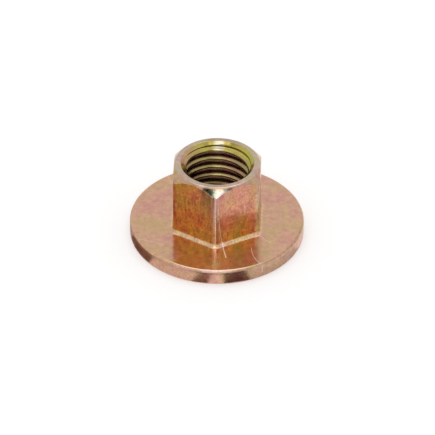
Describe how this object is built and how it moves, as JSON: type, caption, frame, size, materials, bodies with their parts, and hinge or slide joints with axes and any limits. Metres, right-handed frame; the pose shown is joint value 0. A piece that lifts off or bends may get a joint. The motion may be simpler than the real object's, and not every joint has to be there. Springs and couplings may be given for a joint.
{
  "type": "flange nut",
  "caption": "Tall hexagon nut on a broad round flange, one piece, with a chamfered top and a coarse internal thread countersunk at its mouths.",
  "frame": {"origin": "centre of the flange's bearing face, on the thread's axis", "axes": "+Z along the thread's axis, from the bearing face towards the hexagon's top; -Y through a corner of the hexagon, so that two of its flats face +X and -X"},
  "size_m": [0.0386, 0.0386, 0.0188],
  "materials": {
    "yellow_zinc": "steel with a shiny yellow chromate over zinc, iridescent in gold, orange, pink and green"
  },
  "bodies": {
    "root": {"flange_nut": "yellow_zinc"}
  },
  "joints": []
}
